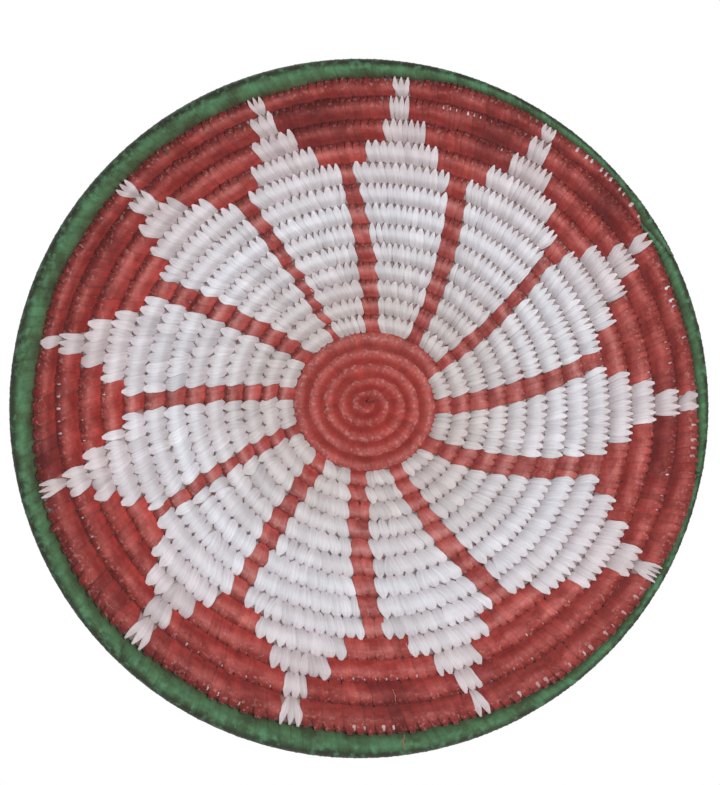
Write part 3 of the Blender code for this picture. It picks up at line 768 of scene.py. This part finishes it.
# White strand that is carried inside the coil and shows between the red stitches:
# first and last bearing, distance from the middle, how many, how large and how pink
whitePeeks = [
    (14.5, 21.5, 0.1290, 6, 0.8, 0.3), (22, 31, 0.1292, 5, 0.7, 0.4), (40, 55.5, 0.1452, 11, 1.05, 0.5),
    (79, 84, 0.1280, 4, 0.7, 0.5), (69, 72.5, 0.1420, 3, 1.1, 0.3), (78, 79, 0.1410, 1, 1.1, 0.6),
    (94, 100, 0.1445, 4, 1.2, 0.9), (92, 97, 0.1330, 5, 0.7, 0.6), (100, 110, 0.1372, 6, 0.7, 0.6),
    (123.7, 141.7, 0.1435, 8, 1.2, 0.9), (146.3, 152.8, 0.1424, 3, 1.2, 0.9),
    (130, 150, 0.1280, 8, 0.7, 0.7), (160.4, 164.2, 0.1400, 2, 1.0, 0.8), (169, 173, 0.1250, 3, 0.7, 0.7),
    (174, 185, 0.1187, 6, 0.7, 0.7), (175, 183, 0.1375, 4, 1.2, 0.8), (204, 208.4, 0.1375, 3, 1.0, 0.5),
    (200, 235, 0.1300, 9, 0.7, 0.7), (264, 274, 0.1360, 5, 0.8, 0.6), (263, 266, 0.1204, 3, 0.7, 0.6),
    (240, 260, 0.1286, 6, 0.7, 0.7), (272, 274, 0.1165, 2, 0.7, 0.6),
]
peekShape = dict(long=0.0020, wide=0.0016, thick=0.0009, ahead=0.0005, along=9, across=9)


def addPeeks():
    spots, faces, tints, fibres, pinks = [], [], [], [], []
    steps, across = peekShape["along"], peekShape["across"]
    for first, last, distance, count, large, pinkness in whitePeeks:
        for bearing in np.linspace(first, last, count):
            bearing += chance.uniform(-0.5, 0.5)
            ringTurns = (bearing - coil["seam"]) / 360 + np.arange(20)
            ringTurns = ringTurns[(ringTurns > 1) & (ringTurns < rimTurn)]
            edge = along(pathRadius, ringTurns) + along(pathHalf, ringTurns) * 0.9
            turn = ringTurns[np.argmin(np.abs(edge - distance))]
            # Into the nearest gap between two stitches
            gaps = (turns[1:] + turns[:-1]) / 2
            turn = gaps[np.argmin(np.abs(gaps - turn))]
            half = float(along(pathHalf, turn))
            size = large * chance.uniform(0.75, 1.15)
            share = np.linspace(-1, 1, steps)[:, None]
            side = np.linspace(-1, 1, across)[None, :]
            outward = (0.74 + 0.5 * share * peekShape["long"] * size / half) + 0 * side
            dome = np.sqrt(np.clip(1 - share ** 2, 0, 1)) * np.sqrt(np.clip(1 - side ** 2, 0, 1))
            forward = faceAt(outward) * half + peekShape["ahead"] * size - peekShape["thick"] * (1 - dome)
            shift = side * peekShape["wide"] / 2 * size * np.sqrt(np.clip(1.05 - share ** 2, 0, 1))
            turnAt = turn + shift / (2 * math.pi * float(along(pathRadius, turn)))
            base = len(spots) * steps * across
            spots.append(place(turnAt, outward * half, forward))
            number = base + np.arange(steps * across).reshape(steps, across)
            corners = [number[:-1, :-1], number[:-1, 1:], number[1:, 1:], number[1:, :-1]]
            faces += np.stack(corners, -1).reshape(-1, 4).tolist()
            tints.append(np.full((steps, across), chance.normal(0, 1)))
            pinks.append(np.full((steps, across), pinkness * chance.uniform(0.7, 1.3)))
            fibres.append(np.stack([shift, outward * half, 0 * shift + chance.uniform(0, 0.5)], -1))
    spots, tints, fibres, pinks = (np.array(table) for table in (spots, tints, fibres, pinks))
    flat = np.ones(tints.shape)
    values = dict(tint=tints, rise=flat * 0.3, row=flat * 8, stain=pinks, fibre=fibres)
    piece = addMesh("white_strand_peeks", spots, faces, values)
    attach(piece, "root")
    piece.data.materials.append(pinkish)


addPeeks()

# The knot that the coil starts from, in the small hole of the first curl; its rise gives it the painted
# groove shade of the middle
knot = dict(radius=0.0021, height=0.0009, forward=0.0008, rings=9, sides=20, rise=-0.7)


def addKnot():
    polar = np.linspace(0.06, math.pi - 0.06, knot["rings"])[:, None]
    around = np.arange(knot["sides"])[None, :] / knot["sides"] * 2 * math.pi
    spots = np.stack([
        knot["radius"] * np.sin(polar) * np.sin(around),
        -knot["forward"] - knot["height"] * np.cos(polar) + 0 * around,
        knot["radius"] * np.sin(polar) * np.cos(around),
    ], -1)
    number = np.arange(knot["rings"] * knot["sides"]).reshape(knot["rings"], knot["sides"])
    beside = np.roll(number, -1, 1)
    faces = np.stack([number[:-1], number[1:], beside[1:], beside[:-1]], -1).reshape(-1, 4).tolist()
    faces += [number[0].tolist(), number[-1][::-1].tolist()]
    flat = np.ones(number.shape)
    piece = addMesh("middle_knot", spots, faces, dict(
        tint=flat * 0, rise=flat * knot["rise"], row=flat * -4.5, stain=flat * 0,
        fibre=spots * 1.0, way=spots * 1.0,
    ))
    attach(piece, "root")
    piece.data.materials.append(middleRed)


addKnot()

# Loose ends that lie across a row: name, material, slot, bearing, row counted from the middle,
# from and to as shares of half the row, how far each drifts along the row, and thickness
looseEnds = [
    ("loose_white_01", pink, "white_fibre", 173.4, 18, -0.7, 0.6, 0.0014, 0.00024),
    ("loose_white_02", pink, "white_fibre", 175.0, 16, -0.3, 0.8, -0.0012, 0.00024),
    ("loose_white_03", pink, "white_fibre", 298.5, 17, 0.5, 1.1, 0.0006, 0.00040),
    ("loose_green_01", green, "green_fibre", 321.0, 17, 0.1, 1.0, 0.0010, 0.00035),
]
endShape = dict(steps=28, sides=8, above=0.0003)


def addLooseEnd(name, material, slot, bearing, ring, start, end, drift, thick):
    turn = ring + ((bearing - coil["seam"]) % 360) / 360
    half = float(along(pathHalf, turn))
    share = np.linspace(0, 1, endShape["steps"])[:, None]
    outward = (start + (end - start) * share) * half
    forward = faceAt(outward / half) * half + thick * 0.4 + endShape["above"]
    sway = drift * (share + 0.35 * np.sin(share * 3.6) + 0.12 * np.sin(share * 14))
    angle = np.linspace(0, 2 * math.pi, endShape["sides"], endpoint=False)[None, :]
    taper = thick * np.sqrt(np.clip(1 - (2 * share - 1) ** 8, 0.05, 1))
    around = 2 * math.pi * float(along(pathRadius, turn))
    turnAt = turn + (sway + taper * np.cos(angle)) / around
    spots = place(turnAt, outward + 0 * angle, forward + taper * np.sin(angle))
    number = np.arange(endShape["steps"] * endShape["sides"]).reshape(endShape["steps"], endShape["sides"])
    beside = np.roll(number, -1, 1)
    faces = np.stack([number[:-1], beside[:-1], beside[1:], number[1:]], -1).reshape(-1, 4).tolist()
    faces += [number[0][::-1].tolist(), number[-1].tolist()]
    flat = np.ones(number.shape)
    fibre = np.stack([thick * np.cos(angle) * flat, outward * flat, flat * 0.1], -1)
    values = dict(tint=flat * 0, rise=flat * 0.3, row=flat * 8, stain=flat * 0.75, fibre=fibre)
    piece = addMesh(name, spots, faces, values)
    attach(piece, "root")
    piece.data.materials.append(material)


for looseEnd in looseEnds:
    addLooseEnd(*looseEnd)
print("Added the small loose strands")

# Soft studio light from the front, a little above and to the right, and a plain white surround
studio = dict(
    key=dict(place=(0.72, -1.8, 0.1), size=0.8, power=25.0, colour=(1.0, 0.99, 0.97)),
    fill=dict(place=(-0.8, -1.7, -0.1), size=1.4, power=6.0, colour=(0.96, 0.98, 1.0)),
    surround=(0.95, 0.97, 1.0), surroundStrength=0.35,
)


def addLamp(name, lamp):
    light = bpy.data.lights.new(name, "AREA")
    light.shape = "DISK"
    light.size = lamp["size"]
    light.energy = lamp["power"]
    light.color = lamp["colour"]
    thing = bpy.data.objects.new(name, light)
    thing.location = lamp["place"]
    aim = Vector((0, -0.02, 0)) - Vector(lamp["place"])
    thing.rotation_euler = aim.to_track_quat("-Z", "Y").to_euler()
    bpy.context.scene.collection.objects.link(thing)


addLamp("key_light", studio["key"])
addLamp("fill_light", studio["fill"])


def seenPlainly(add):
    # 1 where the camera, a reflection or clear glass sees the background, and 0 where it lights the plate
    rays = add("ShaderNodeLightPath")
    direct = {0: rays.outputs["Is Camera Ray"], 1: rays.outputs["Is Glossy Ray"]}
    seen = add("ShaderNodeMath", operation="MAXIMUM", inputs=direct)
    through = {0: seen.outputs[0], 1: rays.outputs["Is Transmission Ray"]}
    return add("ShaderNodeMath", operation="MAXIMUM", inputs=through)


world = bpy.data.worlds.new("studio")
bpy.context.scene.world = world
world.use_nodes = True
add = nodeSetter(world)
seen = seenPlainly(add)
soft = add(
    "ShaderNodeBackground",
    inputs={"Color": (*studio["surround"], 1), "Strength": studio["surroundStrength"]},
)
plain = add("ShaderNodeBackground", inputs={"Color": (1, 1, 1, 1), "Strength": 1.0})
mixed = add("ShaderNodeMixShader", inputs={0: seen.outputs[0], 1: soft.outputs[0], 2: plain.outputs[0]})
world.node_tree.links.new(mixed.outputs[0], world.node_tree.nodes["World Output"].inputs["Surface"])

# A pale floor, as far below as it is under a plate on a wall
floor = dict(height=-1.3, reach=12.0, colour=(0.84, 0.84, 0.83), glow=0.5)


def addFloor():
    reach, height = floor["reach"], floor["height"]
    corners = [
        (-reach, -reach, height), (reach, -reach, height), (reach, reach, height), (-reach, reach, height),
    ]
    mesh = bpy.data.meshes.new("floor")
    mesh.from_pydata(corners, [], [(0, 1, 2, 3)])
    thing = bpy.data.objects.new("floor", mesh)
    bpy.context.scene.collection.objects.link(thing)
    material = bpy.data.materials.new("pale_floor")
    material.use_nodes = True
    add = nodeSetter(material)
    shader = material.node_tree.nodes["Principled BSDF"]
    shader.inputs["Base Color"].default_value = (*floor["colour"], 1)
    shader.inputs["Roughness"].default_value = 0.9
    shader.inputs["Emission Color"].default_value = (1, 1, 1, 1)
    seen = seenPlainly(add)
    glow = add("ShaderNodeMath", operation="MULTIPLY", inputs={0: seen.outputs[0], 1: floor["glow"]})
    material.node_tree.links.new(glow.outputs[0], shader.inputs["Emission Strength"])
    mesh.materials.append(material)


addFloor()

# The camera looks straight at the front. Offsets put the outline where the photo has it.
view = dict(distance=2.4, frameHeight=0.33755, outlineDepth=0.028, x=-0.00297, z=0.00408)
camera = bpy.data.cameras.new("camera")
camera.lens = camera.sensor_width * view["distance"] / view["frameHeight"]
camera.clip_end = 10
cameraObject = bpy.data.objects.new("camera", camera)
cameraObject.location = (view["x"], -view["outlineDepth"] - view["distance"], view["z"])
cameraObject.rotation_euler = (math.radians(90), 0, 0)
bpy.context.scene.collection.objects.link(cameraObject)
bpy.context.scene.camera = cameraObject
bpy.context.scene.view_settings.view_transform = "Standard"
print("Set the light and the camera")
